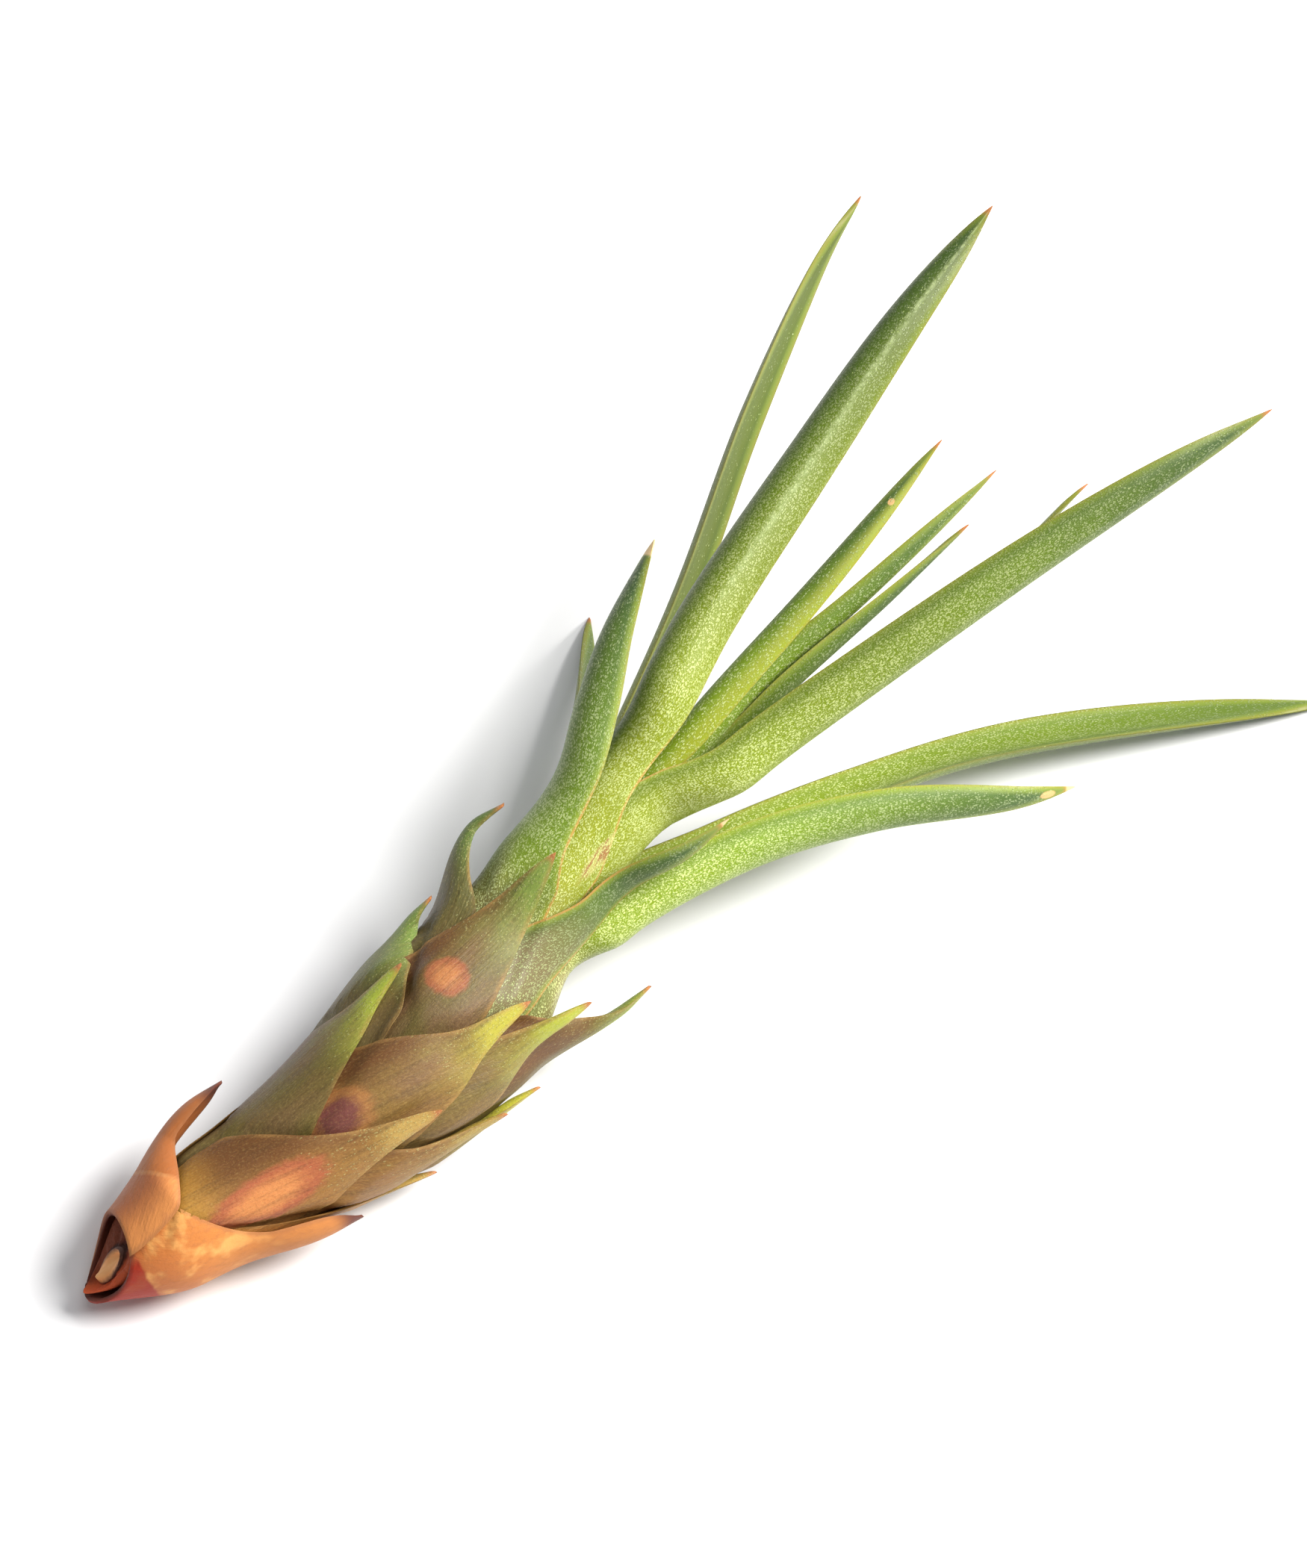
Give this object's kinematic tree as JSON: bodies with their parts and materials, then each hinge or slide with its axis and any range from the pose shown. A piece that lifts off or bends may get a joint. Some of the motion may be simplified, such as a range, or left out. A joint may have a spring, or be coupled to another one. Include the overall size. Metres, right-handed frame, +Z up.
{
  "type": "melanocrater air plant",
  "caption": "Small air plant lying on its side: overlapping scales on a swollen bulb, narrowing to a neck of stiff, channelled, pointed leaves.",
  "frame": {"origin": "on the surface that the plant lies on, under the middle of its bounding box", "axes": "+X from the cut butt towards the leaf tips, the longest way; +Z up from the surface; +Y to the side"},
  "size_m": [0.1188, 0.0618, 0.034],
  "materials": {
    "green_leaf": "satin",
    "bulb_scale": "satin",
    "dry_scale": "matte",
    "stem_wood": "matte"
  },
  "bodies": {
    "root": {"leaf_arched_right": "green_leaf", "leaf_behind_right": "green_leaf", "leaf_big_right": "green_leaf", "leaf_big_upper": "green_leaf", "leaf_broad_left": "green_leaf", "leaf_far_top": "green_leaf", "leaf_low_left": "green_leaf", "leaf_low_right": "green_leaf", "leaf_short_neck": "green_leaf", "leaf_thin_lower": "green_leaf", "leaf_thin_middle": "green_leaf", "leaf_thin_upper": "green_leaf", "leaf_youngest": "green_leaf", "scale_01": "bulb_scale", "scale_02": "bulb_scale", "scale_03": "bulb_scale", "scale_04": "bulb_scale", "scale_05": "bulb_scale", "scale_06": "bulb_scale", "scale_07": "bulb_scale", "scale_08": "bulb_scale", "scale_09": "bulb_scale", "scale_10": "bulb_scale", "scale_11": "bulb_scale", "scale_dry_left": "dry_scale", "scale_dry_right": "dry_scale", "scale_under_1": "bulb_scale", "scale_under_2": "bulb_scale", "scale_under_3": "bulb_scale", "scale_under_4": "bulb_scale", "scale_under_5": "bulb_scale", "stem": "stem_wood"}
  },
  "joints": []
}
